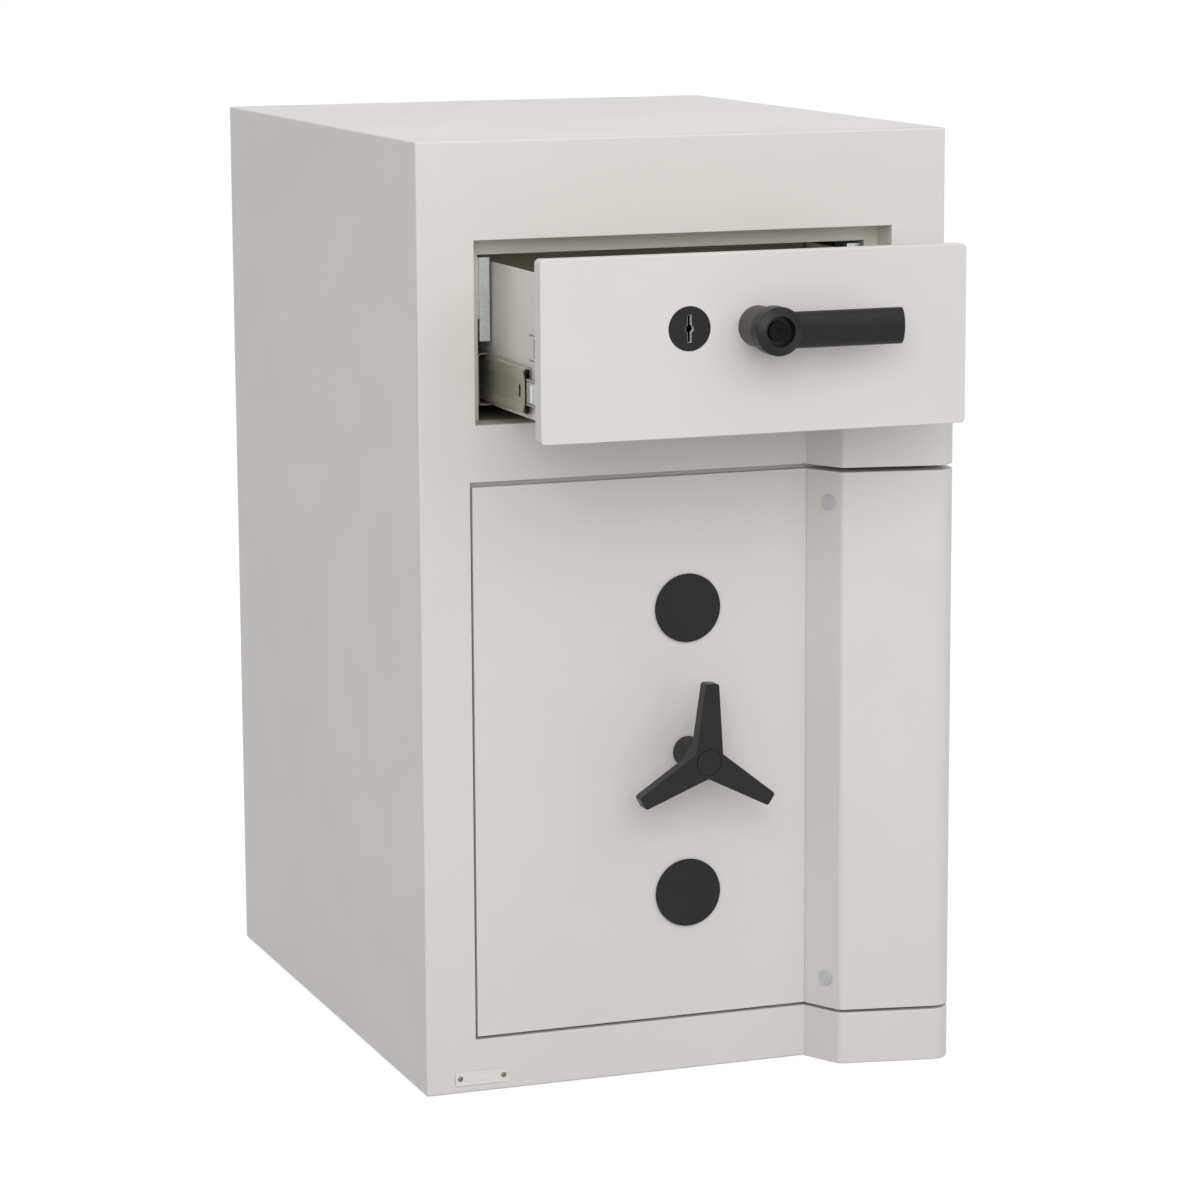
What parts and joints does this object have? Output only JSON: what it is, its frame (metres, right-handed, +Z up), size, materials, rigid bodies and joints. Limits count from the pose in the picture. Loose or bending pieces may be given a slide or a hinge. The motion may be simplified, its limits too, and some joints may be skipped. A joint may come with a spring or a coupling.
{
  "type": "drop safe with deposit drawer",
  "caption": "Floor-standing drop safe: a deposit drawer with a lever handle above a vault door with a spoke handle, covered keyholes and a hinge column.",
  "frame": {"origin": "on the floor, under the middle of the body's footprint", "axes": "+Z up, -Y out of the front, where the drawer and the door are, +X to the right of someone facing the front, where the hinge is"},
  "size_m": [0.53, 0.869, 0.9],
  "materials": {
    "body_paint": "warm light grey powder coat, fine texture",
    "inner_paint": "light grey paint, semi-gloss",
    "drawer_paint": "light grey paint on sheet steel",
    "barrier": "cast barrier mix, rough",
    "zinc": "bright zinc plate",
    "steel": "drawn steel, lightly oiled",
    "black_metal": "black powder coat, satin",
    "black_plastic": "matt black",
    "brass": "drawn brass, dull",
    "pale_cap": "pale grey screw caps",
    "plate": "blank plate, fine brushing"
  },
  "bodies": {
    "root": {"outer_shell": "body_paint", "front_frame": "body_paint", "barrier_fill": "barrier", "vault_liner": "inner_paint", "drawer_liner": "inner_paint", "recess_frame": "body_paint", "door_jamb": "body_paint", "keeper_bar_left": "zinc", "keeper_bar_right": "zinc", "slide_outer_left": "zinc", "slide_outer_right": "zinc", "flap_rod": "steel", "flap_stop_bar": "inner_paint", "column_head": "body_paint", "column_foot": "body_paint", "hinge_pin_top": "steel", "hinge_pin_bottom": "steel", "rating_plate": "plate"},
    "slide_middle_left": {"slide_middle_left": "zinc", "ball_cage_left": "black_plastic"},
    "slide_middle_right": {"slide_middle_right": "zinc", "ball_cage_right": "black_plastic"},
    "drawer": {"drawer_front": "body_paint", "drawer_box": "drawer_paint", "mech_cover": "drawer_paint", "bolt_guide_left": "drawer_paint", "bolt_guide_right": "drawer_paint", "slide_inner_left": "zinc", "slide_inner_right": "zinc", "lock_escutcheon": "black_metal", "drawer_lock_case": "steel", "lever_collar": "black_metal"},
    "lever": {"lever_handle": "black_metal", "lever_screw": "black_plastic", "lever_spindle": "steel"},
    "drawer_bolt_left": {"drawer_bolt_left": "steel"},
    "drawer_bolt_right": {"drawer_bolt_right": "steel"},
    "drawer_lock_bolt": {"drawer_lock_bolt": "brass"},
    "flap": {"anti_fishing_flap": "inner_paint"},
    "door": {"door_plate": "body_paint", "door_barrier": "barrier", "door_back_plate": "inner_paint", "bolt_work_cover": "inner_paint", "dog_bar": "steel", "hinge_cover": "body_paint", "hinge_arm_top": "steel", "hinge_arm_bottom": "steel", "cover_screw_top": "pale_cap", "cover_screw_bottom": "pale_cap", "handle_boss": "black_metal", "door_lock_case_top": "steel", "door_lock_case_bottom": "steel"},
    "handle": {"spoke_handle": "black_metal", "handle_spindle": "steel"},
    "bolt_carriage": {"bolt_carriage": "steel"},
    "door_lock_bolt_top": {"door_lock_bolt_top": "brass"},
    "door_lock_bolt_bottom": {"door_lock_bolt_bottom": "brass"},
    "key_cover_top": {"key_cover_top": "black_metal"},
    "key_cover_bottom": {"key_cover_bottom": "black_metal"}
  },
  "joints": [
    {"name": "drawer_slide", "type": "slide", "parent": "root", "child": "drawer", "axis": [0, -1, 0], "range_m": [-0.173, 0.127]},
    {"name": "slide_middle_left_slide", "type": "slide", "parent": "root", "child": "slide_middle_left", "axis": [0, -1, 0], "range_m": [-0.087, 0.064]},
    {"name": "slide_middle_right_slide", "type": "slide", "parent": "root", "child": "slide_middle_right", "axis": [0, -1, 0], "range_m": [-0.087, 0.064]},
    {"name": "lever_turn", "type": "hinge", "parent": "drawer", "child": "lever", "pos_m": [0, -0.493, 0.739], "axis": [0, 1, 0], "range_deg": [0, 90]},
    {"name": "drawer_bolt_left_slide", "type": "slide", "parent": "drawer", "child": "drawer_bolt_left", "axis": [-1, 0, 0], "range_m": [0, 0.0121]},
    {"name": "drawer_bolt_right_slide", "type": "slide", "parent": "drawer", "child": "drawer_bolt_right", "axis": [1, 0, 0], "range_m": [0, 0.0121]},
    {"name": "drawer_lock_throw", "type": "slide", "parent": "drawer", "child": "drawer_lock_bolt", "axis": [0, 0, -1], "range_m": [0, 0.011]},
    {"name": "flap_swing", "type": "hinge", "parent": "root", "child": "flap", "pos_m": [0, -0.195, 0.8], "axis": [1, 0, 0], "range_deg": [0, 75]},
    {"name": "door_hinge", "type": "hinge", "parent": "root", "child": "door", "pos_m": [0.238, -0.342, 0.3], "axis": [0, 0, 1], "range_deg": [0, 100]},
    {"name": "handle_turn", "type": "hinge", "parent": "door", "child": "handle", "pos_m": [0, -0.36, 0.314], "axis": [0, -1, 0], "range_deg": [0, 90]},
    {"name": "bolt_carriage_slide", "type": "slide", "parent": "door", "child": "bolt_carriage", "axis": [-1, 0, 0], "range_m": [0, 0.0261]},
    {"name": "door_lock_top_throw", "type": "slide", "parent": "door", "child": "door_lock_bolt_top", "axis": [0, 0, -1], "range_m": [0, 0.012]},
    {"name": "door_lock_bottom_throw", "type": "slide", "parent": "door", "child": "door_lock_bolt_bottom", "axis": [0, 0, 1], "range_m": [0, 0.012]},
    {"name": "key_cover_top_swing", "type": "hinge", "parent": "door", "child": "key_cover_top", "pos_m": [0, -0.3218, 0.4792], "axis": [0, 1, 0], "range_deg": [-100, 100]},
    {"name": "key_cover_bottom_swing", "type": "hinge", "parent": "door", "child": "key_cover_bottom", "pos_m": [0, -0.3218, 0.2016], "axis": [0, 1, 0], "range_deg": [-100, 100]}
  ],
  "couplings": [
    {"joint": "slide_middle_left_slide", "follows": "drawer_slide", "ratio": 0.5},
    {"joint": "slide_middle_right_slide", "follows": "drawer_slide", "ratio": 0.5},
    {"joint": "drawer_bolt_left_slide", "follows": "lever_turn", "m_per_rad": 0.0076394},
    {"joint": "drawer_bolt_right_slide", "follows": "lever_turn", "m_per_rad": 0.0076394},
    {"joint": "bolt_carriage_slide", "follows": "handle_turn", "m_per_rad": 0.016552}
  ]
}
